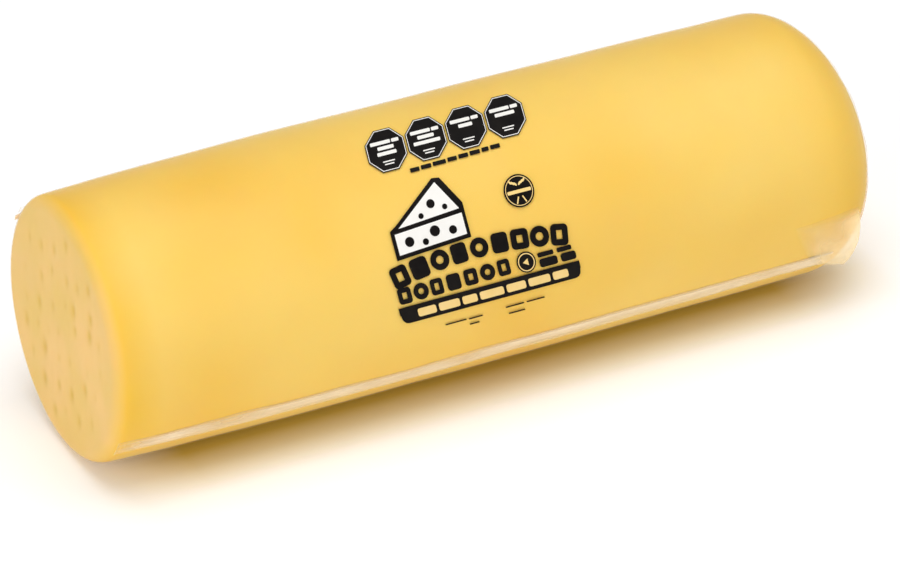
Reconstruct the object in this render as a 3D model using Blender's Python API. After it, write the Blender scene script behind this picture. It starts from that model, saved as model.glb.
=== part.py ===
"""Provolone log, vacuum sealed in a clear shrink bag.

The cheese is a long round bar lying on its side.  The bag is drawn tight on
it, so the sealed pack is one closed solid: the log out to the outer surface
of the film, the two folded side seams of the bag, and the small flaps of
film where those seams run out past the ends.

The log lies along X.  The cut end is at -X and the bulging end is at +X.
The origin is the middle of the pack's footprint, on the surface it lies on.
"""
import math

import bmesh
import bpy

# ---------------------------------------------------------------- dimensions
LOG_RADIUS = 0.060          # radius of the log at both ends of its barrel
BARREL_BULGE = 0.0005       # extra radius halfway along
BARREL_LENGTH = 0.3586      # cut end to the shoulder where the bulge starts
TAPER_LENGTH = 0.120        # the log narrows over this length at the cut end
TAPER_DEPTH = 0.0021        # how much its radius drops at the cut end
RIM_RADIUS = 0.0064         # rounding of the rim of the cut end
FACE_SLOPE_SIDE = 0.019     # lean of the cut face, sideways and upward
FACE_SLOPE_UP = 0.035
DOME_START = 0.345          # the far end begins to round over here
DOME_HEIGHT = 0.0381        # how far the far end bulges beyond that
DOME_POWER = 0.62           # lower is rounder at the shoulder
DOME_SHIFT_SIDE = 0.0036    # the top of the bulge sags off the axis
DOME_SHIFT_DOWN = 0.0044
REST_SAG = 0.0018           # how much of the round is flattened underneath

SEAM_HEIGHT = 0.0009        # side seam, film folded flat on the log
SEAM_THICKNESS = 0.0016
SEAM_FROM = 117.0           # angle round the log from the top, in degrees
SEAM_TO = 127.5
SEAM_OPPOSITE = 180.0       # the second seam is opposite the first
FLAP_FROM = 97.0            # the flap at the bulging end reaches up to here
FLAP_START = 0.320          # where the seam starts to widen into the flap
FLAP_END = 0.361            # where the flap stops, past the shoulder
TIP_START = -0.0010         # the seams stand this far out of the cut end
TIP_FULL = 0.006

RING_POINTS = 96
BARREL_RINGS = 15
RIM_RINGS = 5
DOME_RINGS = 12
FACE_RINGS = 2
SEAM_COLUMNS = 7

AXIS_HEIGHT = LOG_RADIUS - REST_SAG


# ------------------------------------------------------------------- shape
def log_radius(along):
    """Radius of the log at a distance from the cut end."""
    place = along / BARREL_LENGTH * 2.0 - 1.0
    narrowing = max(0.0, 1.0 - along / TAPER_LENGTH)
    bulge = BARREL_BULGE * (1.0 - place * place)
    return LOG_RADIUS + bulge - TAPER_DEPTH * narrowing ** 2


def lean_of_end(along):
    """How much of the cut face's lean a section still has."""
    return max(0.0, 1.0 - along / (3.0 * RIM_RADIUS))


def section_point(along, radius, angle, lean=0.0, side=0.0, down=0.0):
    """A point on a round section; angle 0 is the top, positive goes to -Y."""
    out = radius * math.sin(angle)
    rise = radius * math.cos(angle)
    slide = lean * (FACE_SLOPE_SIDE * out + FACE_SLOPE_UP * rise)
    height = AXIS_HEIGHT + rise - down
    return (along + slide, -(out + side), max(0.0, height))


def log_sections():
    """The log as a list of sections: along, radius, lean, side, down."""
    sections = []
    edge_radius = log_radius(RIM_RADIUS) - RIM_RADIUS
    for step in range(1, FACE_RINGS + 1):
        sections.append((0.0, edge_radius * step / (FACE_RINGS + 1), 1.0, 0.0, 0.0))
    for step in range(RIM_RINGS + 1):
        turn = math.radians(90.0 * step / RIM_RINGS)
        along = RIM_RADIUS * (1.0 - math.cos(turn))
        radius = edge_radius + RIM_RADIUS * math.sin(turn)
        sections.append((along, radius, lean_of_end(along), 0.0, 0.0))
    for step in range(1, BARREL_RINGS + 1):
        part = step / BARREL_RINGS
        along = RIM_RADIUS + (DOME_START - RIM_RADIUS) * part
        sections.append((along, log_radius(along), lean_of_end(along), 0.0, 0.0))
    shoulder = log_radius(DOME_START)
    for step in range(1, DOME_RINGS + 1):
        turn = math.radians(86.0 * step / DOME_RINGS)
        share = math.cos(turn)
        rise = (1.0 - share * share) ** DOME_POWER
        along = DOME_START + DOME_HEIGHT * rise
        weight = 1.0 - share * share
        sections.append((along, shoulder * share, 0.0,
                         DOME_SHIFT_SIDE * weight, DOME_SHIFT_DOWN * weight))
    return sections


def build_log():
    """The sealed log without its seams, as a bmesh."""
    shape = bmesh.new()
    rings = []
    for along, radius, lean, side, down in log_sections():
        ring = []
        for step in range(RING_POINTS):
            angle = 2.0 * math.pi * step / RING_POINTS
            spot = section_point(along, radius, angle, lean, side, down)
            ring.append(shape.verts.new(spot))
        rings.append(ring)
    for first, second in zip(rings, rings[1:]):
        for step in range(RING_POINTS):
            after = (step + 1) % RING_POINTS
            shape.faces.new((first[step], first[after], second[after], second[step]))
    near_pole = shape.verts.new((0.0, 0.0, AXIS_HEIGHT))
    far_pole = shape.verts.new((DOME_START + DOME_HEIGHT, -DOME_SHIFT_SIDE,
                                AXIS_HEIGHT - DOME_SHIFT_DOWN))
    for step in range(RING_POINTS):
        after = (step + 1) % RING_POINTS
        shape.faces.new((near_pole, rings[0][after], rings[0][step]))
        shape.faces.new((far_pole, rings[-1][step], rings[-1][after]))
    bmesh.ops.recalc_face_normals(shape, faces=shape.faces)
    return shape


def seam_stations(with_flap):
    """Places along a seam: along, first angle, height above the log."""
    stations = [(TIP_START, SEAM_FROM + 3.0, 0.0), (TIP_FULL, SEAM_FROM, 1.0)]
    count = 16
    for step in range(1, count + 1):
        along = TIP_FULL + (FLAP_START - TIP_FULL) * step / count
        stations.append((along, SEAM_FROM, 1.0))
    if with_flap:
        count = 5
        for step in range(1, count + 1):
            part = step / count
            along = FLAP_START + (FLAP_END - FLAP_START) * part
            reach = min(1.0, part * 2.2)
            first = SEAM_FROM + (FLAP_FROM - SEAM_FROM) * reach
            stations.append((along, first, 1.0))
    else:
        stations.append((DOME_START, SEAM_FROM, 1.0))
        stations.append((DOME_START + 0.006, SEAM_FROM + 3.0, 0.0))
    return stations


def seam_radius(along, inward):
    """The seam follows the log, and runs on straight past its ends."""
    inside = min(max(along, RIM_RADIUS), DOME_START)
    past = max(0.0, along - DOME_START)
    return log_radius(inside) - inward - 0.18 * past


def build_seam(name, turn, with_flap):
    """One folded side seam of the bag, as an object to join to the log."""
    shape = bmesh.new()
    rings = []
    for along, first, lift in seam_stations(with_flap):
        outer = []
        inner = []
        for step in range(SEAM_COLUMNS):
            part = step / (SEAM_COLUMNS - 1)
            angle = math.radians(first + (SEAM_TO - first) * part + turn)
            high = SEAM_HEIGHT * (0.4 + 0.6 * lift)
            top = seam_radius(along, -high)
            bottom = seam_radius(along, SEAM_THICKNESS - high)
            outer.append(shape.verts.new(section_point(along, top, angle)))
            inner.append(shape.verts.new(section_point(along, bottom, angle)))
        rings.append(outer + inner[::-1])
    size = 2 * SEAM_COLUMNS
    for first, second in zip(rings, rings[1:]):
        for step in range(size):
            after = (step + 1) % size
            shape.faces.new((first[step], first[after], second[after], second[step]))
    shape.faces.new(rings[0])
    shape.faces.new(rings[-1][::-1])
    bmesh.ops.recalc_face_normals(shape, faces=shape.faces)
    return object_from(shape, name)


def object_from(shape, name):
    """Turn a bmesh into an object in the scene."""
    mesh = bpy.data.meshes.new(name)
    shape.to_mesh(mesh)
    shape.free()
    item = bpy.data.objects.new(name, mesh)
    bpy.context.scene.collection.objects.link(item)
    return item


def centre_on_footprint(item):
    """Put the origin in the middle of the footprint."""
    along = [corner.co.x for corner in item.data.vertices]
    across = [corner.co.y for corner in item.data.vertices]
    middle_x = (min(along) + max(along)) / 2.0
    middle_y = (min(across) + max(across)) / 2.0
    for corner in item.data.vertices:
        corner.co.x -= middle_x
        corner.co.y -= middle_y


def join_seam(log, seam):
    """Make the seam part of the log's one solid."""
    union = log.modifiers.new("union_" + seam.name, "BOOLEAN")
    union.operation = "UNION"
    union.solver = "EXACT"
    union.object = seam
    bpy.context.view_layer.objects.active = log
    bpy.ops.object.modifier_apply(modifier=union.name)
    bpy.data.objects.remove(seam, do_unlink=True)


def cheese_material():
    """Golden cheese seen through a tight, glossy film."""
    material = bpy.data.materials.new("golden_cheese_in_film")
    material.use_nodes = True
    shader = material.node_tree.nodes["Principled BSDF"]
    shader.inputs["Base Color"].default_value = (0.94, 0.60, 0.15, 1.0)
    shader.inputs["Roughness"].default_value = 0.32
    shader.inputs["Metallic"].default_value = 0.0
    return material


# ------------------------------------------------------------------- build
for old in list(bpy.data.objects):
    bpy.data.objects.remove(old, do_unlink=True)

sealed_log = object_from(build_log(), "sealed_log")
join_seam(sealed_log, build_seam("front_seam", 0.0, True))
join_seam(sealed_log, build_seam("back_seam", SEAM_OPPOSITE, False))
centre_on_footprint(sealed_log)
sealed_log.data.materials.clear()
sealed_log.data.materials.append(cheese_material())
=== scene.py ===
# %% [markdown]
# # A provolone log in a clear shrink bag
# The real thing is a long bar of pulled-curd cheese.  It is slipped into a
# clear printed bag, the air is drawn out and the film shrinks tight on it.
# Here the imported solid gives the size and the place.  The cheese, the film,
# the folded seams of the bag and its print are made over it, piece by piece.

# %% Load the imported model
import math
import random

import bpy
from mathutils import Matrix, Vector, noise


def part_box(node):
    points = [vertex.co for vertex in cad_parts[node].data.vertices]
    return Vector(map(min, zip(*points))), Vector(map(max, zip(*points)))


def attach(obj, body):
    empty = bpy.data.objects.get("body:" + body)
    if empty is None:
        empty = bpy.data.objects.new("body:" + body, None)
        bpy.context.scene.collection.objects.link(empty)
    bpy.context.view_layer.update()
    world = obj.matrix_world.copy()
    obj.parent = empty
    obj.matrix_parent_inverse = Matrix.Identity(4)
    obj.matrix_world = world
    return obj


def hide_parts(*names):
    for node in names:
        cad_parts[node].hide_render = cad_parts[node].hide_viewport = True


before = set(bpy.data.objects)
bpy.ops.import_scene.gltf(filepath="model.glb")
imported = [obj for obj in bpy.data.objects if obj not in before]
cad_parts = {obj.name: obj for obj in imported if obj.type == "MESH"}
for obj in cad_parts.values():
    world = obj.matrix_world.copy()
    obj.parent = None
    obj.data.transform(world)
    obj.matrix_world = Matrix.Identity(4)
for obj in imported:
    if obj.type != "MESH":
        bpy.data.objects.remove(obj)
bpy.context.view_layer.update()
node_low, node_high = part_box("sealed_log")
print("packed log, mm:", [round(side * 1000, 1) for side in node_high - node_low])

# %% [markdown]
# ## Sizes of the log
# Every place on the log is given by two numbers: how far along it lies from
# the cut end, and its angle round the log, 0 at the top and growing towards
# the printed side.  One function turns them into a point, so the cheese, the
# film and the print all agree.

# %% Sizes and the shape rule
MM = 0.001
LOG_RADIUS = 60.0 * MM
BARREL_BULGE = 0.5 * MM
BARREL_LENGTH = 358.6 * MM
TAPER_LENGTH = 120.0 * MM
TAPER_DEPTH = 2.1 * MM
RIM_RADIUS = 6.4 * MM
DOME_START = 345.0 * MM
PACKED_DOME = 38.1 * MM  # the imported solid's dome, which gives the place of the cut end
DOME_HEIGHT = 35.1 * MM
DOME_POWER = 0.50
DOME_SHIFT_SIDE = 3.6 * MM
DOME_SHIFT_DOWN = 4.4 * MM
FACE_SLOPE_SIDE = 0.019
FACE_SLOPE_UP = 0.035

CUT_END_X = node_high.x - DOME_START - PACKED_DOME
MIDDLE_Y = (node_low.y + node_high.y) / 2.0
AXIS_Z = node_high.z - LOG_RADIUS - BARREL_BULGE
FLOOR_Z = node_low.z


def log_radius(along):
    """Radius of the log at a distance from the cut end."""
    place = along / BARREL_LENGTH * 2.0 - 1.0
    narrowing = max(0.0, 1.0 - along / TAPER_LENGTH)
    return LOG_RADIUS + BARREL_BULGE * (1.0 - place * place) - TAPER_DEPTH * narrowing ** 2


def on_log(along, degrees, lift=0.0):
    """A point over the barrel, lift metres above its surface."""
    inside = min(max(along, RIM_RADIUS), DOME_START)
    radius = log_radius(inside) + lift
    angle = math.radians(degrees)
    return Vector((CUT_END_X + along, MIDDLE_Y - radius * math.sin(angle),
                   AXIS_Z + radius * math.cos(angle)))


print("cut end at x =", round(CUT_END_X, 4), "axis at z =", round(AXIS_Z, 4))

# %% [markdown]
# ## The camera
# The log is seen from a little above and from its cut end, with a long lens,
# so that its sides stay nearly parallel.  The shift only frames it.

# %% Camera
CAMERA_TURN = 26.80
CAMERA_RISE = 31.54
CAMERA_DISTANCE = 2.016
LENS = 184.6
SHIFT_X = 0.0107
SHIFT_Y = -0.0580

look_at = Vector((CUT_END_X + BARREL_LENGTH / 2.0, MIDDLE_Y, AXIS_Z))
turn = math.radians(CAMERA_TURN)
rise = math.radians(CAMERA_RISE)
backwards = Vector((-math.sin(turn) * math.cos(rise),
                    -math.cos(turn) * math.cos(rise), math.sin(rise)))
camera_data = bpy.data.cameras.new("camera")
camera = bpy.data.objects.new("camera", camera_data)
bpy.context.scene.collection.objects.link(camera)
camera.location = look_at + backwards * CAMERA_DISTANCE
camera.rotation_euler = backwards.to_track_quat("Z", "Y").to_euler()
camera_data.lens = LENS
camera_data.sensor_width = 36.0
camera_data.shift_x = SHIFT_X
camera_data.shift_y = SHIFT_Y
camera_data.clip_end = 20.0
bpy.context.scene.camera = camera
print("camera at", [round(value, 3) for value in camera.location])

# %% [markdown]
# ## Helpers for modelling by hand
# An operator works on whatever is selected.  These helpers leave one object
# selected and active, and open and close edit mode, so that each step below
# reads like the clicks it stands for.

# %% Selection helpers


def pick(item):
    """Select one object alone and make it active."""
    if bpy.context.object and bpy.context.object.mode != "OBJECT":
        bpy.ops.object.mode_set(mode="OBJECT")
    bpy.ops.object.select_all(action="DESELECT")
    item.select_set(True)
    bpy.context.view_layer.objects.active = item


def clear_selection():
    """Deselect everything before a primitive is added."""
    if bpy.context.object and bpy.context.object.mode != "OBJECT":
        bpy.ops.object.mode_set(mode="OBJECT")
    bpy.ops.object.select_all(action="DESELECT")


def settle(item, name):
    """Name a new object and put its place into its mesh."""
    pick(item)
    item.name = name
    item.data.name = name
    bpy.ops.object.transform_apply(location=True, rotation=True, scale=True)
    return item


def select_faces(item, test, mode="FACE"):
    """Select the faces that pass a test, then open edit mode on them."""
    pick(item)
    bpy.ops.object.mode_set(mode="EDIT")
    bpy.ops.mesh.select_mode(type=mode)
    bpy.ops.mesh.select_all(action="DESELECT")
    bpy.ops.object.mode_set(mode="OBJECT")
    for face in item.data.polygons:
        face.select = test(face)
    bpy.ops.object.mode_set(mode="EDIT")


def select_edges(item, test):
    """Select the edges that pass a test, then open edit mode on them."""
    pick(item)
    bpy.ops.object.mode_set(mode="EDIT")
    bpy.ops.mesh.select_mode(type="EDGE")
    bpy.ops.mesh.select_all(action="DESELECT")
    bpy.ops.object.mode_set(mode="OBJECT")
    corners = item.data.vertices
    for edge in item.data.edges:
        first, second = (corners[index].co for index in edge.vertices)
        edge.select = test(first, second)
    bpy.ops.object.mode_set(mode="EDIT")


def done_editing():
    """Leave edit mode."""
    bpy.ops.object.mode_set(mode="OBJECT")


def copy_of(item, name):
    """A copy with its own mesh."""
    pick(item)
    bpy.ops.object.duplicate()
    twin = bpy.context.object
    twin.name = name
    twin.data.name = name
    return twin


def finish_shape(item, smooth=True):
    """Outward normals and shading."""
    pick(item)
    bpy.ops.object.mode_set(mode="EDIT")
    bpy.ops.mesh.select_all(action="SELECT")
    bpy.ops.mesh.normals_make_consistent(inside=False)
    bpy.ops.object.mode_set(mode="OBJECT")
    if smooth:
        bpy.ops.object.shade_smooth()
    item.select_set(False)


# %% [markdown]
# ## The cheese
# A cylinder is the start.  Its cut end is bevelled for the soft rim and inset
# ring by ring, so that small hollows can be pressed into it.  Its other end
# is inset in narrowing rings that one rule then pushes out to a sagging
# dome.  The sides are divided so that the log can taper and be a little
# uneven, as a bar shaped in a mould and shrunk by its bag is.

# %% Start from a cylinder
AROUND = 192
BARREL_CUTS = 90
FACE_STEP = 1.15 * MM
FACE_STEPS = 44
DOME_STEPS = 40

clear_selection()
bpy.ops.mesh.primitive_cylinder_add(
    vertices=AROUND, radius=LOG_RADIUS, depth=DOME_START, end_fill_type="NGON",
    location=(CUT_END_X + DOME_START / 2.0, MIDDLE_Y, AXIS_Z),
    rotation=(0.0, math.radians(90.0), 0.0))
cheese = settle(bpy.context.object, "cheese_log")
FAR_PLANE_X = CUT_END_X + DOME_START


def at_cut_end(point):
    return abs(point.x - CUT_END_X) < 0.01 * MM


# %% Round the rim, then divide the sides along the log
select_edges(cheese, lambda a, b: at_cut_end(a) and at_cut_end(b))
bpy.ops.mesh.bevel(offset=RIM_RADIUS, segments=8, affect="EDGES", profile=0.5)
done_editing()

select_edges(cheese, lambda a, b: abs(a.x - b.x) > 0.1)
bpy.ops.mesh.subdivide(number_cuts=BARREL_CUTS)
done_editing()

# %% Ring both ends
select_faces(cheese, lambda face: face.normal.x < -0.99999)
for step in range(FACE_STEPS):
    bpy.ops.mesh.inset(thickness=FACE_STEP)
done_editing()

select_faces(cheese, lambda face: face.normal.x > 0.99999)
for step in range(DOME_STEPS):
    before = math.cos(math.radians(88.0 * step / DOME_STEPS))
    after = math.cos(math.radians(88.0 * (step + 1) / DOME_STEPS))
    bpy.ops.mesh.inset(thickness=LOG_RADIUS * (before - after))
done_editing()
print("cheese corners:", len(cheese.data.vertices))

# %% Taper, lean, sag and dome
UNEVEN = 0.28 * MM
CREASE_REACH = 0.68
CREASE_WIDTH = 0.06
CREASE_TURN = -34.0
CREASE_SPREAD = 30.0
CREASE_DEPTH = 1.9 * MM


def shape_cheese(point):
    """Move one corner of the plain cylinder to its place on the log."""
    along = point.x - CUT_END_X
    across = -(point.y - MIDDLE_Y)
    up = point.z - AXIS_Z
    reach = math.hypot(across, up)
    share = min(1.0, reach / LOG_RADIUS)
    scale = log_radius(max(along, RIM_RADIUS)) / LOG_RADIUS
    across *= scale
    up *= scale
    lean = max(0.0, 1.0 - along / (3.0 * RIM_RADIUS))
    along += lean * (FACE_SLOPE_SIDE * across + FACE_SLOPE_UP * up)
    if point.x > FAR_PLANE_X - 0.01 * MM:
        hollow = 1.0 - share * share
        along += DOME_HEIGHT * hollow ** DOME_POWER
        across += DOME_SHIFT_SIDE * hollow
        up -= DOME_SHIFT_DOWN * hollow
        turned = math.degrees(math.atan2(across, up))
        crease = math.exp(-((reach / LOG_RADIUS - CREASE_REACH) / CREASE_WIDTH) ** 2)
        crease *= math.exp(-((turned - CREASE_TURN) / CREASE_SPREAD) ** 2)
        along -= CREASE_DEPTH * crease
        up -= CREASE_DEPTH * crease
    wave = noise.noise(Vector((along * 22.0, across * 20.0, up * 20.0)))
    fine = noise.noise(Vector((along * 70.0 + 5.0, across * 60.0, up * 60.0)))
    grow = 1.0 + (wave * UNEVEN + fine * UNEVEN * 0.25) / LOG_RADIUS
    across *= grow
    up *= grow
    height = max(AXIS_Z + up, FLOOR_Z + 0.7 * MM)
    return Vector((CUT_END_X + along, MIDDLE_Y - across, height))


for corner in cheese.data.vertices:
    corner.co = shape_cheese(corner.co)
finish_shape(cheese)

# %% [markdown]
# ## The film
# The bag is one clear skin a third of a millimetre off the cheese, so it is a
# copy of the cheese pushed out along its normals.  It is copied before the
# hollows are pressed in, because the film spans them.  At the bulging end the
# shrunk film gathers into shallow pleats.

# %% Film skin
FILM_GAP = 0.35 * MM
PLEAT_DEPTH = 0.35 * MM

film = copy_of(cheese, "clear_film")
push = film.modifiers.new("push_out", "DISPLACE")
push.strength = FILM_GAP
push.mid_level = 0.0
bpy.ops.object.modifier_apply(modifier="push_out")

for corner in film.data.vertices:
    along = corner.co.x - CUT_END_X
    if along > DOME_START:
        across = -(corner.co.y - MIDDLE_Y)
        up = corner.co.z - AXIS_Z
        angle = math.atan2(across, up)
        depth = min(1.0, (along - DOME_START) / DOME_HEIGHT)
        ripple = math.sin(angle * 17.0 + 2.0 * math.sin(angle * 3.0))
        corner.co.x += PLEAT_DEPTH * depth * (1.0 + ripple)
finish_shape(film)
print("film corners:", len(film.data.vertices))

# %% [markdown]
# ## Hollows in the cut end
# The cut end keeps the marks of the pegs it drained on: small soft hollows
# in slanting rows.  Two loops give a turned grid, and a seeded random shift
# keeps it from looking machined.  How deep each corner sinks is kept in an
# attribute, so the material can paint shade into the hollows as a darker gold.

# %% Press the hollows
HOLLOW_PITCH = 14.2 * MM
HOLLOW_ROW = 12.4 * MM
HOLLOW_STRAY = 3.2
HOLLOW_TURN = math.radians(22.0)
HOLLOW_WIDTH = 2.0 * MM
HOLLOW_DEPTH = 0.45 * MM
HOLLOW_TALL = 1.6
HOLLOW_REACH = 46.0 * MM

random.seed(7)
hollows = []
for row in range(-5, 6):
    for column in range(-5, 6):
        flat_x = (column + 0.5 * (row % 2)) * HOLLOW_PITCH
        flat_z = row * HOLLOW_ROW
        side = flat_x * math.cos(HOLLOW_TURN) - flat_z * math.sin(HOLLOW_TURN)
        height = flat_x * math.sin(HOLLOW_TURN) + flat_z * math.cos(HOLLOW_TURN)
        side += random.uniform(-HOLLOW_STRAY, HOLLOW_STRAY) * MM
        height += random.uniform(-HOLLOW_STRAY, HOLLOW_STRAY) * MM
        size = random.uniform(0.45, 1.1)
        if math.hypot(side, height) < HOLLOW_REACH:
            hollows.append((side, height, size))

sink = cheese.data.attributes.new("hollow", "FLOAT", "POINT")
for index, corner in enumerate(cheese.data.vertices):
    along = corner.co.x - CUT_END_X
    across = -(corner.co.y - MIDDLE_Y)
    up = corner.co.z - AXIS_Z
    if along < 4.0 * MM and math.hypot(across, up) < HOLLOW_REACH + 5.0 * MM:
        press = 0.0
        for side, height, size in hollows:
            width = HOLLOW_WIDTH * size
            gap = ((across - side) / width) ** 2 + ((up - height) / (width * HOLLOW_TALL)) ** 2
            if gap < 8.0:
                press = max(press, math.exp(-gap) * size)
        corner.co.x += HOLLOW_DEPTH * press
        sink.data[index].value = press
print("hollows:", len(hollows))

# %% [markdown]
# ## Side seams
# A bag of this kind is welded along both sides.  When it shrinks, each weld
# folds flat on the cheese as a narrow, milky double strip.  A flat grid is
# laid out, wrapped on the log and given a thin wall.  Its upper edge wavers
# and lifts a little, which is what catches the light.

# %% A strip of film wrapped on the log
SEAM_FROM = 116.6
SEAM_TO = 127.4
SEAM_END = 348.0 * MM
SEAM_START = 2.5 * MM


def film_grid(name, columns, rows):
    """A flat unit grid to wrap; x and y run from 0 to 1."""
    clear_selection()
    bpy.ops.mesh.primitive_grid_add(x_subdivisions=columns, y_subdivisions=rows,
                                    size=1.0, location=(0.5, 0.5, 0.0))
    return settle(bpy.context.object, name)


def set_veil(item, values):
    """Keep how milky each corner is, for the film's material."""
    veil = item.data.attributes.new("veil", "FLOAT", "POINT")
    for index, value in enumerate(values):
        veil.data[index].value = value


def edge_fade(value, width):
    """0 at either edge of a unit span, 1 once width inside it."""
    return min(1.0, value / width, (1.0 - value) / width)


def give_wall(item, thickness):
    """Turn a sheet into a thin closed film."""
    pick(item)
    wall = item.modifiers.new("wall", "SOLIDIFY")
    wall.thickness = thickness
    wall.offset = 1.0
    bpy.ops.object.modifier_apply(modifier="wall")
    finish_shape(item)


def make_seam(name, turned, start):
    """One folded side weld."""
    seam = film_grid(name, 260, 14)
    veils = []
    for corner in seam.data.vertices:
        run, part = corner.co.x, corner.co.y
        patch = noise.noise(Vector((run * 9.0, part * 2.0, turned)))
        begin = min(1.0, run / 0.07)
        veils.append((0.75 + 0.5 * patch) * begin * max(0.0, edge_fade(part, 0.22)) ** 0.7)
        along = start + (SEAM_END - start) * run
        waver = noise.noise(Vector((along * 26.0 + turned, 0.0, 0.0))) * 1.5
        waver += noise.noise(Vector((along * 90.0 + turned, 3.0, 0.0))) * 0.35
        first = SEAM_FROM + waver
        last = SEAM_TO + noise.noise(Vector((along * 30.0, 7.0, turned))) * 1.0
        degrees = first + (last - first) * part + turned
        crease = noise.noise(Vector((along * 150.0, part * 2.0, turned)))
        lift = 0.40 + 0.10 * crease
        lift += 0.38 * math.exp(-((part - 0.12) / 0.08) ** 2)
        lift += 0.18 * math.exp(-((part - 0.50) / 0.10) ** 2)
        corner.co = on_log(along, degrees, lift * MM)
    set_veil(seam, veils)
    give_wall(seam, 0.06 * MM)
    return seam


front_seam = make_seam("front_seam", 0.0, SEAM_START)
back_seam = make_seam("back_seam", 180.0, SEAM_START)
print("seam corners:", len(front_seam.data.vertices))

# %% [markdown]
# ## Corner flap and end fold
# Where the side weld meets the end weld the bag has a corner.  At the bulging
# end it is folded back on the log as a milky dog-ear, whose outer edge stands
# clear of the cheese.  The end weld itself lies bent over on the dome.

# %% Dog-ear at the bulging end
FLAP_TOP_LEFT = (324.0, 95.5)
FLAP_TOP_RIGHT = (356.5, 93.5)
FLAP_LOW_LEFT = (343.0, 127.0)
FLAP_LOW_RIGHT = (358.5, 132.0)

flap = film_grid("corner_flap", 56, 48)
veils = []
for corner in flap.data.vertices:
    right, down = corner.co.x, corner.co.y
    patch = noise.noise(Vector((right * 2.5, down * 3.0, 6.0)))
    rim_fade = min(1.0, right / 0.30, down / 0.16, (1.0 - down) / 0.05)
    veils.append(max(0.0, rim_fade) * (0.85 + 0.5 * patch) * (0.75 + 0.5 * right))
    top = [a + (b - a) * right for a, b in zip(FLAP_TOP_LEFT, FLAP_TOP_RIGHT)]
    low = [a + (b - a) * right for a, b in zip(FLAP_LOW_LEFT, FLAP_LOW_RIGHT)]
    along, degrees = (a + (b - a) * down for a, b in zip(top, low))
    along += 2.0 * math.sin(math.pi * down) * right ** 2
    along -= 2.0 * math.sin(math.pi * down) * (1.0 - right)
    fold = noise.noise(Vector((right * 3.0, down * 4.0, 1.5)))
    fine = noise.noise(Vector((right * 9.0, down * 9.0, 4.0)))
    lift = 0.62 + 0.30 * fold + 0.12 * fine
    past = max(0.0, along - DOME_START / MM)
    lift += past * (0.13 * down - 0.10 * (1.0 - down))
    corner.co = on_log(along * MM, degrees, lift * MM)
set_veil(flap, veils)
give_wall(flap, 0.05 * MM)

# %% End weld folded on the dome
FOLD_STEPS = 90
FOLD_ROWS = 8


def on_dome(across, up, lift):
    """A point over the bulging end; across and up are from its axis."""
    reach = math.hypot(across, up)
    shoulder = log_radius(DOME_START)
    hollow = max(0.0, 1.0 - (reach / shoulder) ** 2)
    along = DOME_START + DOME_HEIGHT * hollow ** DOME_POWER + lift
    return Vector((CUT_END_X + along,
                   MIDDLE_Y - across - DOME_SHIFT_SIDE * hollow,
                   AXIS_Z + up - DOME_SHIFT_DOWN * hollow))


end_fold = film_grid("end_fold", FOLD_STEPS, FOLD_ROWS)
veils = []
for corner in end_fold.data.vertices:
    run, part = corner.co.x, corner.co.y
    veils.append(0.6 * max(0.0, edge_fade(part, 0.3)))
    bend = math.sin(math.pi * run)
    across = (-48.0 + 98.0 * run) * MM
    up = (24.0 - 50.0 * run + 27.0 * bend) * MM
    width = (9.0 * (part - 0.5)) * MM
    across += width * 0.6
    up += width * 0.8
    crease = noise.noise(Vector((run * 30.0, part * 2.0, 9.0)))
    lift = 0.45 + 0.55 * part + 0.15 * crease
    corner.co = on_dome(across, up, lift * MM)
set_veil(end_fold, veils)
give_wall(end_fold, 0.05 * MM)

# %% Film tip at the cut end


def make_tip(name, middle, spread, out):
    """A small corner of film that stands out past the rim."""
    tip = film_grid(name, 14, 18)
    veils = []
    for corner in tip.data.vertices:
        run, part = corner.co.x, corner.co.y
        veils.append(max(0.0, min(edge_fade(part, 0.3), (1.0 - run) / 0.5)) * 1.1)
        narrow = 0.5 + 0.5 * run
        degrees = middle + spread * (part - 0.5) * narrow
        along = (-out + (out + 9.0) * run) * MM
        crease = noise.noise(Vector((run * 4.0, part * 5.0, middle)))
        lift = 0.15 + 0.15 * crease + 0.30 * run
        corner.co = on_log(along, degrees, lift * MM)
    set_veil(tip, veils)
    give_wall(tip, 0.06 * MM)
    return tip


back_tip = make_tip("back_tip", 119.0 + 180.0, 9.0, -1.4)
print("film pieces:", [part.name for part in (flap, end_fold, back_tip)])

# %% [markdown]
# ## Print
# The film is printed in black, with a little white and gold.  Words, marks
# and the picture are left out; blocks, rings and discs hold their places and
# a plain wedge of cheese stands in the middle.  Each shape is drawn flat
# in millimetres, cut into narrow bands so that it can bend, given a skin's
# thickness, and wrapped on the log.

# %% Flat shapes
FACING = 55.5
PRINT_SKEW = 0.42
flat_parts = {"dark": [], "pale": [], "gold": [], "mark": []}


def keep_flat(item, ink, x, h, tilt):
    """Turn, place and store one flat shape; x is along, h is downwards."""
    pick(item)
    item.rotation_euler = (0.0, 0.0, math.radians(tilt))
    item.location = (x * MM, -h * MM, 0.0)
    bpy.ops.object.transform_apply(location=True, rotation=True, scale=True)
    flat_parts[ink].append(item)
    return item


def block(ink, x, h, width, height, tilt=0.0, corner=0.3):
    """A bar or block with rounded corners."""
    clear_selection()
    bpy.ops.mesh.primitive_plane_add(size=1.0)
    item = bpy.context.object
    item.scale = (width * MM, height * MM, 1.0)
    bpy.ops.object.transform_apply(location=False, rotation=False, scale=True)
    bpy.ops.object.mode_set(mode="EDIT")
    bpy.ops.mesh.select_all(action="SELECT")
    radius = min(width, height) * corner * MM
    bpy.ops.mesh.bevel(offset=radius, segments=3, affect="VERTICES")
    bpy.ops.object.mode_set(mode="OBJECT")
    return keep_flat(item, ink, x, h, tilt)


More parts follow.
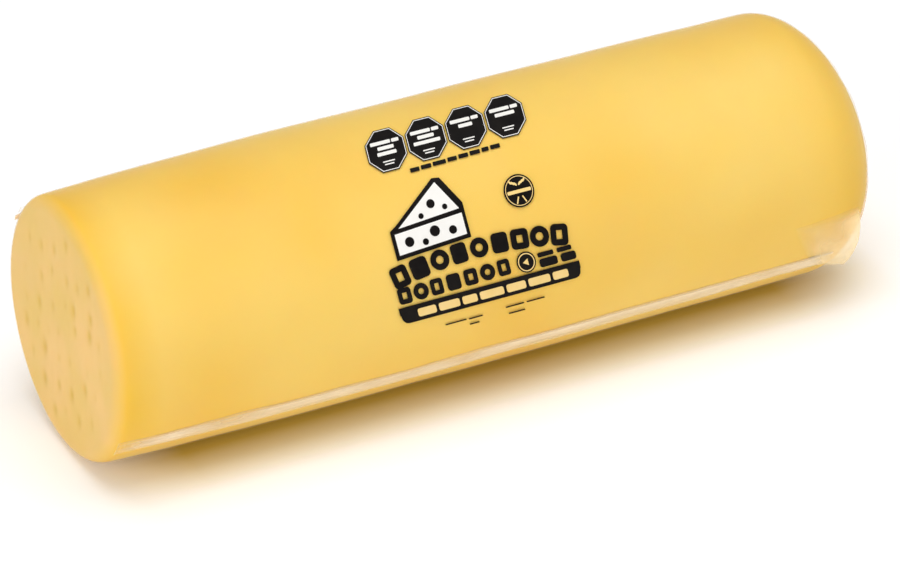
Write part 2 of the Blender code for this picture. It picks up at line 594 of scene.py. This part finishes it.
def slotted(ink, x, h, width, height, tilt=0.0, corner=0.22, wall=0.33):
    """A rounded block with a slot: the block inset, with its middle deleted."""
    item = block(ink, x, h, width, height, tilt=tilt, corner=corner)
    pick(item)
    bpy.ops.object.mode_set(mode="EDIT")
    bpy.ops.mesh.select_all(action="SELECT")
    bpy.ops.mesh.inset(thickness=min(width, height) * wall * MM)
    bpy.ops.mesh.delete(type="FACE")
    bpy.ops.object.mode_set(mode="OBJECT")
    return item


def disc(ink, x, h, radius, sides=40, tilt=0.0, squash=1.0):
    """A disc, or a shape of few equal sides."""
    clear_selection()
    bpy.ops.mesh.primitive_circle_add(vertices=sides, radius=radius * MM, fill_type="NGON")
    item = bpy.context.object
    item.scale = (squash, 1.0, 1.0)
    bpy.ops.object.transform_apply(location=False, rotation=False, scale=True)
    return keep_flat(item, ink, x, h, tilt)


def ring(ink, x, h, radius, width, sides=40, tilt=0.0):
    """A flat ring: a disc inset, with its middle deleted."""
    clear_selection()
    bpy.ops.mesh.primitive_circle_add(vertices=sides, radius=radius * MM, fill_type="NGON")
    item = bpy.context.object
    bpy.ops.object.mode_set(mode="EDIT")
    bpy.ops.mesh.select_all(action="SELECT")
    bpy.ops.mesh.inset(thickness=width * MM)
    bpy.ops.mesh.delete(type="FACE")
    bpy.ops.object.mode_set(mode="OBJECT")
    return keep_flat(item, ink, x, h, tilt)


# %% Row of dark octagons
OCTAGON_FIRST = (139.3, -38.9)
OCTAGON_PITCH = 19.13
OCTAGON_RISE = -0.5
OCTAGON_RADIUS = 9.95
OCTAGON_LINES = ((7.6, 9.0), (7.8, 12.6), (6.6, 0.0), (9.4, 0.0))
random.seed(11)
for number in range(4):
    x = OCTAGON_FIRST[0] + OCTAGON_PITCH * number
    h = OCTAGON_FIRST[1] + OCTAGON_RISE * number
    disc("dark", x, h, OCTAGON_RADIUS, sides=8, tilt=22.5)
    ring("pale", x, h, OCTAGON_RADIUS - 0.45, 0.30, sides=8, tilt=22.5)
    block("pale", x - 2.0, h - 3.4, 9.4, 1.5, corner=0.25)
    block("pale", x + 5.0, h - 3.4, 3.4, 1.5, corner=0.25)
    block("pale", x, h - 1.0, OCTAGON_LINES[number][0], 1.5, corner=0.25)
    if OCTAGON_LINES[number][1]:
        block("pale", x, h + 1.4, OCTAGON_LINES[number][1], 1.5, corner=0.25)
    block("pale", x, h + 4.9, 5.6, 0.5)
    block("pale", x, h + 6.1, 4.4, 0.5)

# %% Thin line of small blocks
x = 147.6
while x < 187.0:
    width = random.uniform(2.6, 6.4)
    block("dark", x + width / 2.0, -27.8 - (x - 147.6) * 0.028, width, 1.8, corner=0.15)
    x += width + 0.9

# %% Arched frieze
ARCH_MIDDLE = 168.5
ARCH_DROP = 4.4


def arch_height(x):
    return 10.7 + ARCH_DROP * ((x - ARCH_MIDDLE) / 43.0) ** 2


def arch_tilt(x):
    return -math.degrees(math.atan(2.0 * ARCH_DROP * (x - ARCH_MIDDLE) / 43.0 ** 2))


x = 126.4
for number, width in enumerate((9.0, 9.2, 9.6, 8.2, 10.0, 8.6, 9.2, 8.4, 9.0)):
    middle = x + width / 2.0
    tall = 9.4 - 0.9 * math.cos((middle - ARCH_MIDDLE) / 43.0 * math.pi / 2.0)
    if number in (2, 4, 7):
        ring("dark", middle, arch_height(middle), tall / 2.0, tall * 0.30)
    elif number % 2:
        block("dark", middle, arch_height(middle), width - 0.9, tall,
              tilt=arch_tilt(middle), corner=0.22)
    else:
        slotted("dark", middle, arch_height(middle), width - 0.9, tall,
              tilt=arch_tilt(middle), corner=0.22)
    x += width + 0.45

# %% Second frieze, banner and small blocks
x = 127.2
for number, width in enumerate((7.0, 6.2, 6.6, 7.2, 7.0, 6.8, 6.6)):
    middle = x + width / 2.0
    height = 22.3 - 0.015 * (middle - 127.0)
    if number in (1, 5):
        ring("dark", middle, height, 3.5, 2.2)
    elif number % 2:
        block("dark", middle, height, width - 0.8, 6.9, corner=0.22)
    else:
        slotted("dark", middle, height, width - 0.8, 6.9)
    x += width + 1.1

disc("dark", 188.6, 21.8, 4.5)
ring("gold", 188.6, 21.8, 3.9, 0.45)
disc("gold", 188.6, 21.8, 1.7, sides=3, tilt=90.0)
for x, width in ((198.2, 7.6), (207.2, 7.0)):
    block("dark", x, 20.4, width, 2.0)
for x, width in ((198.8, 8.6), (208.4, 7.2)):
    block("dark", x, 24.0, width, 3.6)

block("dark", 169.5, 30.4, 85.6, 7.0, corner=0.42)
block("dark", 169.5, 28.6, 86.4, 3.3, corner=0.05)
x = 134.5
for width in (8.6, 9.8, 7.0, 11.4, 9.2, 10.4, 7.4):
    block("gold", x + width / 2.0, 30.6, width, 3.4, corner=0.25)
    x += width + 1.35

# %% Faint small lines under the banner
for x, h, width in ((150.2, 38.6, 10.0), (159.6, 38.8, 6.6), (158.4, 41.1, 4.6),
                    (178.6, 38.2, 8.8), (188.6, 38.2, 8.6), (178.8, 41.1, 7.8)):
    block("dark", x, h, width, 0.55)

# %% Round badge
disc("dark", 193.7, -8.1, 7.1)
ring("gold", 193.7, -8.1, 6.4, 0.30)
block("gold", 193.7, -7.9, 11.2, 1.5)
for side in (-1, 1):
    for leaf in range(3):
        disc("gold", 193.7 + side * (1.0 + 1.1 * leaf), -11.2 - 0.5 * leaf, 1.0,
             sides=12, tilt=-40.0 * side, squash=0.45)
    block("gold", 193.7 + side * 1.6, -4.3, 0.6, 3.2, tilt=24.0 * side)

# %% Plain wedge of cheese


def outline(ink, points):
    """A flat shape from its few corner points, in millimetres."""
    mesh = bpy.data.meshes.new("outline")
    corners = [(x * MM, -h * MM, 0.0) for x, h in points]
    mesh.from_pydata(corners, [], [tuple(range(len(points)))])
    item = bpy.data.objects.new("outline", mesh)
    bpy.context.scene.collection.objects.link(item)
    flat_parts[ink].append(item)
    return item


outline("dark", [(131.5, 7.5), (131.5, -5.0), (135.0, -7.0), (156.0, -22.5),
                 (159.5, -22.0), (167.0, -9.5), (167.0, 5.5)])
outline("pale", [(135.6, -5.4), (156.8, -20.6), (164.8, -7.4)])
outline("pale", [(133.2, 5.6), (133.2, -3.4), (165.4, -5.4), (165.4, 3.8)])
for x, h, radius in ((139.0, 1.0, 2.1), (146.2, 2.6, 1.4), (151.4, -0.8, 2.3),
                     (159.6, 0.6, 1.8)):
    disc("mark", x, h, radius)
for x, h, radius in ((152.6, -12.2, 1.9), (158.6, -9.6, 1.2), (147.0, -8.2, 1.2)):
    disc("mark", x, h, radius)

# %% Wrap the print on the log
PRINT_BANDS = 1.25
PRINT_TOP, PRINT_BOTTOM = -50.0, 44.0
PRINT_THICKNESS = 0.05 * MM
FIRST_LAYER, SECOND_LAYER, THIRD_LAYER = 0.62 * MM, 0.72 * MM, 0.82 * MM


def wrap_print(name, ink, lift):
    """Join the flat shapes of one ink, band them, thicken and wrap them."""
    parts = flat_parts[ink]
    clear_selection()
    for part in parts:
        part.select_set(True)
    bpy.context.view_layer.objects.active = parts[0]
    bpy.ops.object.join()
    printed = bpy.context.object
    printed.name = name
    printed.data.name = name
    bpy.ops.object.mode_set(mode="EDIT")
    height = PRINT_TOP
    while height < PRINT_BOTTOM:
        bpy.ops.mesh.select_all(action="SELECT")
        bpy.ops.mesh.bisect(plane_co=(0.0, -height * MM, 0.0), plane_no=(0.0, 1.0, 0.0))
        height += PRINT_BANDS
    bpy.ops.mesh.select_all(action="SELECT")
    bpy.ops.mesh.extrude_region_move(
        TRANSFORM_OT_translate={"value": (0.0, 0.0, PRINT_THICKNESS)})
    bpy.ops.object.mode_set(mode="OBJECT")
    for corner in printed.data.vertices:
        x, h, z = corner.co.x, -corner.co.y, corner.co.z
        radius = log_radius(x)
        turned = math.asin(max(-0.99, min(0.99, h / radius)))
        along = x + PRINT_SKEW * radius * (1.0 - math.cos(turned))
        degrees = FACING + math.degrees(turned)
        corner.co = on_log(along, degrees, lift + z)
    finish_shape(printed, smooth=False)
    return printed


dark_print = wrap_print("dark_print", "dark", FIRST_LAYER)
pale_print = wrap_print("pale_print", "pale", SECOND_LAYER)
gold_print = wrap_print("gold_print", "gold", SECOND_LAYER)
top_marks = wrap_print("top_marks", "mark", THIRD_LAYER)
print("print corners:", len(dark_print.data.vertices), len(pale_print.data.vertices))

# %% [markdown]
# ## Materials
# Cheese under tight film is smooth and evenly golden, a little paler where
# the film clings and deeper towards the rims.  Its cut end is a beige cream.
# Colours are mixed by slow noise; fine grain would make it look dry.

# %% Small helpers for node materials


def new_material(name):
    """A material with an empty node tree and its output."""
    material = bpy.data.materials.new(name)
    material.use_nodes = True
    nodes = material.node_tree.nodes
    nodes.clear()
    output = nodes.new("ShaderNodeOutputMaterial")
    return material, nodes, material.node_tree.links, output


def noise_on(nodes, links, scale, detail, centre):
    """Noise that reads Object coordinates, centred by a Mapping node."""
    where = nodes.new("ShaderNodeTexCoord")
    mapping = nodes.new("ShaderNodeMapping")
    mapping.inputs["Location"].default_value = centre
    grain = nodes.new("ShaderNodeTexNoise")
    grain.inputs["Scale"].default_value = scale
    grain.inputs["Detail"].default_value = detail
    links.new(where.outputs["Object"], mapping.inputs["Vector"])
    links.new(mapping.outputs["Vector"], grain.inputs["Vector"])
    return grain


def ramp(nodes, links, source, stops):
    """A colour ramp fed by a socket."""
    item = nodes.new("ShaderNodeValToRGB")
    strip = item.color_ramp
    strip.elements[0].position, strip.elements[0].color = stops[0]
    strip.elements[1].position, strip.elements[1].color = stops[-1]
    for position, colour in stops[1:-1]:
        strip.elements.new(position).color = colour
    links.new(source, item.inputs["Fac"])
    return item


def mix_colour(nodes, links, fac, first, second):
    """Mix two colour sockets by a factor socket."""
    item = nodes.new("ShaderNodeMix")
    item.data_type = "RGBA"
    links.new(fac, item.inputs["Factor"])
    links.new(first, item.inputs["A"])
    links.new(second, item.inputs["B"])
    return item.outputs["Result"]


def grey(level):
    return (level, level, level, 1.0)


# %% Cheese
GOLD = (0.960, 0.625, 0.118, 1.0)
PALE_GOLD = (0.985, 0.680, 0.160, 1.0)
DEEP_GOLD = (0.930, 0.555, 0.072, 1.0)
RIM_GOLD = (0.900, 0.520, 0.025, 1.0)
CUT_BEIGE = (0.800, 0.530, 0.130, 1.0)
CUT_PINK = (0.865, 0.550, 0.180, 1.0)
# Painted shade: the hollows of the cut end are coloured a darker gold.
HOLLOW_PAINTED_SHADE = (0.700, 0.430, 0.055, 1.0)

cheese_look, nodes, links, output = new_material("golden_cheese")
slow = noise_on(nodes, links, 9.0, 2.0, (0.3, 0.1, 0.2))
body = ramp(nodes, links, slow.outputs["Fac"],
            [(0.30, DEEP_GOLD), (0.50, GOLD), (0.70, PALE_GOLD)])
cut_noise = noise_on(nodes, links, 30.0, 2.0, (0.7, 0.2, 0.4))
cut = ramp(nodes, links, cut_noise.outputs["Fac"], [(0.35, CUT_BEIGE), (0.65, CUT_PINK)])

facing = nodes.new("ShaderNodeTexCoord")
split = nodes.new("ShaderNodeSeparateXYZ")
links.new(facing.outputs["Normal"], split.inputs["Vector"])
toward_cut = nodes.new("ShaderNodeMapRange")
toward_cut.inputs["From Min"].default_value = -0.30
toward_cut.inputs["From Max"].default_value = -0.985
links.new(split.outputs["X"], toward_cut.inputs["Value"])

place = nodes.new("ShaderNodeSeparateXYZ")
links.new(facing.outputs["Object"], place.inputs["Vector"])
rim = nodes.new("ShaderNodeMapRange")
rim.inputs["From Min"].default_value = CUT_END_X + 22.0 * MM
rim.inputs["From Max"].default_value = CUT_END_X + 3.0 * MM
rim.inputs["To Max"].default_value = 1.70
links.new(place.outputs["X"], rim.inputs["Value"])
rim_noise = noise_on(nodes, links, 14.0, 1.0, (0.0, 0.6, 0.1))
dome = nodes.new("ShaderNodeMapRange")
dome.inputs["From Min"].default_value = FAR_PLANE_X - 15.0 * MM
dome.inputs["From Max"].default_value = FAR_PLANE_X + 12.0 * MM
dome.inputs["To Max"].default_value = 1.10
links.new(place.outputs["X"], dome.inputs["Value"])
both_ends = nodes.new("ShaderNodeMath")
both_ends.operation = "ADD"
links.new(rim.outputs["Result"], both_ends.inputs[0])
links.new(dome.outputs["Result"], both_ends.inputs[1])
rim_patch = nodes.new("ShaderNodeMath")
rim_patch.operation = "MULTIPLY"
rim_patch.use_clamp = True
links.new(both_ends.outputs[0], rim_patch.inputs[0])
links.new(rim_noise.outputs["Fac"], rim_patch.inputs[1])
rim_colour = nodes.new("ShaderNodeRGB")
rim_colour.outputs[0].default_value = RIM_GOLD
sides = mix_colour(nodes, links, rim_patch.outputs[0], body.outputs["Color"],
                   rim_colour.outputs[0])
whole = mix_colour(nodes, links, toward_cut.outputs["Result"], sides, cut.outputs["Color"])

# The cut end's hollows get painted shade, a darker gold, by how deep each was pressed.
pressed = nodes.new("ShaderNodeAttribute")
pressed.attribute_name = "hollow"
hollow_shade_colour = nodes.new("ShaderNodeRGB")
hollow_shade_colour.outputs[0].default_value = HOLLOW_PAINTED_SHADE
final = mix_colour(nodes, links, pressed.outputs["Fac"], whole, hollow_shade_colour.outputs[0])

cheese_shader = nodes.new("ShaderNodeBsdfPrincipled")
links.new(final, cheese_shader.inputs["Base Color"])
cheese_shader.inputs["Roughness"].default_value = 0.50
cheese_shader.inputs["Specular IOR Level"].default_value = 0.10
cheese_shader.inputs["Subsurface Weight"].default_value = 0.15
cheese_shader.inputs["Subsurface Scale"].default_value = 0.002
links.new(cheese_shader.outputs["BSDF"], output.inputs["Surface"])

# %% [markdown]
# ## Clear film and milky welds
# Stretched film hardly shows except by its gloss, which grows at a glancing
# angle.  So it is mostly a transparent shader, mixed with a soft gloss by the
# fifth power of Facing, which is the same for a film's front and its back.
# Where film lies double, at the welds and the dog-ear, it turns milky, so
# those pieces mix in more of a pale, satin surface.  They also pass on light
# from behind, which a weak emission stands for.

# %% Film
FILM_TINT = (0.94, 0.80, 0.58, 1.0)
MILK = (1.00, 0.86, 0.62, 1.0)
EAR_MILK = (1.00, 0.80, 0.44, 1.0)
GLANCE_GLOSS = 0.35
STRAIGHT_GLOSS = 0.02


def film_material(name, body_colour, least, most, rough, through):
    """Transparent film mixed with a pale satin skin; through is light it passes on."""
    material, nodes, links, output = new_material(name)
    clear = nodes.new("ShaderNodeBsdfTransparent")
    skin = nodes.new("ShaderNodeBsdfPrincipled")
    skin.inputs["Base Color"].default_value = body_colour
    skin.inputs["Roughness"].default_value = rough
    skin.inputs["Emission Color"].default_value = body_colour
    skin.inputs["Emission Strength"].default_value = through
    wisps = noise_on(nodes, links, 42.0, 3.0, (0.2, 0.5, 0.9))
    amount = nodes.new("ShaderNodeMapRange")
    amount.inputs["From Min"].default_value = 0.30
    amount.inputs["From Max"].default_value = 0.70
    amount.inputs["To Min"].default_value = least
    amount.inputs["To Max"].default_value = most
    links.new(wisps.outputs["Fac"], amount.inputs["Value"])
    facing = nodes.new("ShaderNodeLayerWeight")
    facing.inputs["Blend"].default_value = 0.5
    steep = nodes.new("ShaderNodeMath")
    steep.operation = "POWER"
    steep.inputs[1].default_value = 5.0
    links.new(facing.outputs["Facing"], steep.inputs[0])
    glance = nodes.new("ShaderNodeMath")
    glance.operation = "MULTIPLY_ADD"
    glance.inputs[1].default_value = GLANCE_GLOSS
    glance.inputs[2].default_value = STRAIGHT_GLOSS
    links.new(steep.outputs[0], glance.inputs[0])
    milky = amount.outputs["Result"]
    if through:
        veil = nodes.new("ShaderNodeAttribute")
        veil.attribute_name = "veil"
        scaled = nodes.new("ShaderNodeMath")
        scaled.operation = "MULTIPLY"
        links.new(milky, scaled.inputs[0])
        links.new(veil.outputs["Fac"], scaled.inputs[1])
        milky = scaled.outputs[0]
    together = nodes.new("ShaderNodeMath")
    together.operation = "ADD"
    together.use_clamp = True
    links.new(milky, together.inputs[0])
    links.new(glance.outputs[0], together.inputs[1])
    blend = nodes.new("ShaderNodeMixShader")
    links.new(together.outputs[0], blend.inputs["Fac"])
    links.new(clear.outputs["BSDF"], blend.inputs[1])
    links.new(skin.outputs["BSDF"], blend.inputs[2])
    links.new(blend.outputs["Shader"], output.inputs["Surface"])
    return material


film_look = film_material("clear_film", FILM_TINT, 0.0, 0.03, 0.30, 0.0)
weld_look = film_material("milky_weld", MILK, 0.42, 0.70, 0.38, 0.10)
ear_look = film_material("milky_corner", EAR_MILK, 0.24, 0.42, 0.36, 0.16)

# %% Inks


def ink_material(name, colour, second, rough):
    """Printing ink, faintly uneven in tone and gloss."""
    material, nodes, links, output = new_material(name)
    shader = nodes.new("ShaderNodeBsdfPrincipled")
    shade = noise_on(nodes, links, 160.0, 2.0, (0.1, 0.1, 0.1))
    tone = ramp(nodes, links, shade.outputs["Fac"], [(0.3, colour), (0.7, second)])
    links.new(tone.outputs["Color"], shader.inputs["Base Color"])
    shader.inputs["Specular IOR Level"].default_value = 0.06
    gloss = ramp(nodes, links, shade.outputs["Fac"],
                 [(0.3, grey(rough - 0.05)), (0.7, grey(rough + 0.05))])
    links.new(gloss.outputs["Color"], shader.inputs["Roughness"])
    links.new(shader.outputs["BSDF"], output.inputs["Surface"])
    return material


dark_look = ink_material("black_ink", (0.006, 0.005, 0.005, 1.0), (0.011, 0.009, 0.008, 1.0), 0.40)
pale_look = ink_material("white_ink", (0.91, 0.89, 0.84, 1.0), (0.95, 0.93, 0.89, 1.0), 0.45)

gold_look = ink_material("gold_ink", (0.93, 0.66, 0.24, 1.0), (0.97, 0.71, 0.30, 1.0), 0.45)

# %% Give each piece its material and body
looks = (
    (cheese, cheese_look, "cheese"),
    (film, film_look, "film"),
    (front_seam, weld_look, "film"),
    (back_seam, weld_look, "film"),
    (flap, ear_look, "film"),
    (end_fold, ear_look, "film"),
    (back_tip, weld_look, "film"),
    (dark_print, dark_look, "ink"),
    (pale_print, pale_look, "pale_ink"),
    (gold_print, gold_look, "pale_ink"),
    (top_marks, dark_look, "ink"),
)
for piece, look, slot in looks:
    piece.data.materials.clear()
    piece.data.materials.append(look)
    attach(piece, "root")
    print(piece.name, "triangles about", 2 * len(piece.data.polygons))
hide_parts("sealed_log")
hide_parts("sealed_log")

# %% [markdown]
# ## Floor and light
# A white floor under a broad soft light keeps the log's own soft shadow.
# The lamps are white, so the gold comes from the cheese.  Close to the log, in
# front, the floor is painted a darker gold: painted shadow, warmed for the light
# that the cheese throws on it.  There the camera's glow is dimmed as well.

# %% Floor
FLOOR_WHITE = (0.96, 0.96, 0.96, 1.0)
# Painted shadow: the floor in front of the log is darker and golden, a painted warm shadow and
# painted bounce light from the cheese.
PAINTED_WARM_SHADOW = (0.74, 0.60, 0.14, 1.0)
GLOW_WHITE = (1.0, 1.0, 1.0, 1.0)
GLOW_SHADE = (0.05, 0.03, 0.01, 1.0)
FLOOR_GLOW = 0.18
FAR_GLOW = 1.0
GLOW_NEAR = 0.7
GLOW_FAR = 2.2
FLOOR_SIZE = 12.0

clear_selection()
bpy.ops.mesh.primitive_plane_add(size=FLOOR_SIZE, location=(0.0, 0.0, FLOOR_Z - 0.1 * MM))
floor = bpy.context.object
floor.name = "floor"
floor_look, nodes, links, output = new_material("white_floor")
floor_shader = nodes.new("ShaderNodeBsdfDiffuse")
where = nodes.new("ShaderNodeTexCoord")
floor_place = nodes.new("ShaderNodeSeparateXYZ")
links.new(where.outputs["Object"], floor_place.inputs["Vector"])
# The band of painted shadow lies in front of the log and along its length.
in_front = nodes.new("ShaderNodeMapRange")
in_front.inputs["From Min"].default_value = MIDDLE_Y - 60.0 * MM
in_front.inputs["From Max"].default_value = MIDDLE_Y + 40.0 * MM
links.new(floor_place.outputs["Y"], in_front.inputs["Value"])
beside = nodes.new("ShaderNodeMapRange")
beside.inputs["From Min"].default_value = CUT_END_X - 5.0 * MM
beside.inputs["From Max"].default_value = FAR_PLANE_X + 45.0 * MM
links.new(floor_place.outputs["X"], beside.inputs["Value"])
across = ramp(nodes, links, in_front.outputs["Result"],
              [(0.0, grey(0.0)), (0.32, grey(1.0)), (0.55, grey(1.0)), (0.90, grey(0.0))])
lengthwise = ramp(nodes, links, beside.outputs["Result"],
                  [(0.0, grey(0.0)), (0.12, grey(1.0)), (0.86, grey(1.0)), (1.0, grey(0.0))])
painted_shadow_band = nodes.new("ShaderNodeMath")
painted_shadow_band.operation = "MULTIPLY"
links.new(across.outputs["Color"], painted_shadow_band.inputs[0])
links.new(lengthwise.outputs["Color"], painted_shadow_band.inputs[1])


def plain_colour(colour):
    item = nodes.new("ShaderNodeRGB")
    item.outputs[0].default_value = colour
    return item.outputs[0]


# Inside the band the floor colour is the painted warm shadow, and the camera's glow is dimmed so
# that the painted shadow stays dark.
floor_tone = mix_colour(nodes, links, painted_shadow_band.outputs[0], plain_colour(FLOOR_WHITE),
                        plain_colour(PAINTED_WARM_SHADOW))
glow_tone = mix_colour(nodes, links, painted_shadow_band.outputs[0], plain_colour(GLOW_WHITE),
                       plain_colour(GLOW_SHADE))
links.new(floor_tone, floor_shader.inputs["Color"])
glow = nodes.new("ShaderNodeEmission")
distance = nodes.new("ShaderNodeVectorMath")
distance.operation = "LENGTH"
links.new(where.outputs["Object"], distance.inputs[0])
far_glow = nodes.new("ShaderNodeMapRange")
far_glow.inputs["From Min"].default_value = GLOW_NEAR
far_glow.inputs["From Max"].default_value = GLOW_FAR
far_glow.inputs["To Min"].default_value = FLOOR_GLOW
far_glow.inputs["To Max"].default_value = FAR_GLOW
links.new(distance.outputs["Value"], far_glow.inputs["Value"])
links.new(far_glow.outputs["Result"], glow.inputs["Strength"])
links.new(glow_tone, glow.inputs["Color"])
both = nodes.new("ShaderNodeAddShader")
links.new(floor_shader.outputs["BSDF"], both.inputs[0])
links.new(glow.outputs["Emission"], both.inputs[1])
path = nodes.new("ShaderNodeLightPath")
seen_or_glossy = nodes.new("ShaderNodeMath")
seen_or_glossy.operation = "MAXIMUM"
links.new(path.outputs["Is Camera Ray"], seen_or_glossy.inputs[0])
links.new(path.outputs["Is Glossy Ray"], seen_or_glossy.inputs[1])
seen = nodes.new("ShaderNodeMath")
seen.operation = "MAXIMUM"
links.new(seen_or_glossy.outputs[0], seen.inputs[0])
links.new(path.outputs["Is Transmission Ray"], seen.inputs[1])
floor_blend = nodes.new("ShaderNodeMixShader")
links.new(seen.outputs[0], floor_blend.inputs["Fac"])
links.new(floor_shader.outputs["BSDF"], floor_blend.inputs[1])
links.new(both.outputs["Shader"], floor_blend.inputs[2])
links.new(floor_blend.outputs["Shader"], output.inputs["Surface"])
floor.data.materials.append(floor_look)

# %% Lamps and world


def soft_lamp(name, place, size, watts):
    """A square white lamp aimed at the log."""
    data = bpy.data.lights.new(name, "AREA")
    data.shape = "SQUARE"
    data.size = size
    data.energy = watts
    data.color = (1.0, 1.0, 1.0)
    lamp = bpy.data.objects.new(name, data)
    bpy.context.scene.collection.objects.link(lamp)
    lamp.location = place
    aim = Vector(place) - look_at
    lamp.rotation_euler = aim.to_track_quat("Z", "Y").to_euler()
    return lamp


soft_lamp("key_light", (0.0, -0.15, 2.2), 1.8, 27.5)
soft_lamp("front_fill", (-0.4, -2.2, 0.75), 1.6, 10.0)
soft_lamp("cut_end_fill", (-2.3, -0.5, 0.6), 1.4, 21.0)
soft_lamp("far_end_fill", (2.3, -0.8, 0.6), 1.4, 6.0)

SKY_LIGHT = 0.34
world = bpy.data.worlds.new("studio")
bpy.context.scene.world = world
world.use_nodes = True
world_nodes = world.node_tree.nodes
world_links = world.node_tree.links
world_nodes.clear()
sky = world_nodes.new("ShaderNodeBackground")
sky.inputs["Color"].default_value = (1.0, 1.0, 1.0, 1.0)
camera_path = world_nodes.new("ShaderNodeLightPath")
sky_level = world_nodes.new("ShaderNodeMath")
sky_level.operation = "MULTIPLY_ADD"
sky_level.inputs[1].default_value = 1.0 - SKY_LIGHT
sky_level.inputs[2].default_value = SKY_LIGHT
world_links.new(camera_path.outputs["Is Camera Ray"], sky_level.inputs[0])
world_links.new(sky_level.outputs[0], sky.inputs["Strength"])
world_output = world_nodes.new("ShaderNodeOutputWorld")
world_links.new(sky.outputs["Background"], world_output.inputs["Surface"])
bpy.context.scene.view_settings.view_transform = "Standard"
